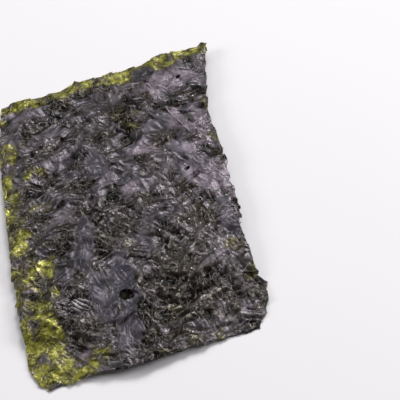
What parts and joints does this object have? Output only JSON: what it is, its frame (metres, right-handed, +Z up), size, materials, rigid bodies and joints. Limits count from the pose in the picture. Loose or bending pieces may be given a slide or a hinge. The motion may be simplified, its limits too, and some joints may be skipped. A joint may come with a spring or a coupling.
{
  "type": "nori sheet",
  "caption": "Thin crumpled rectangular leaf of roasted dried seaweed, cut to snack size, lying on its underside.",
  "frame": {"origin": "centre of the sheet's box, on the surface that it lies on", "axes": "+X across the sheet's short side, +Y along its long side, +Z up through its thickness"},
  "size_m": [0.0568, 0.0884, 0.0041],
  "materials": {
    "roasted_laver": "satin"
  },
  "bodies": {
    "root": {"nori_sheet": "roasted_laver"}
  },
  "joints": []
}
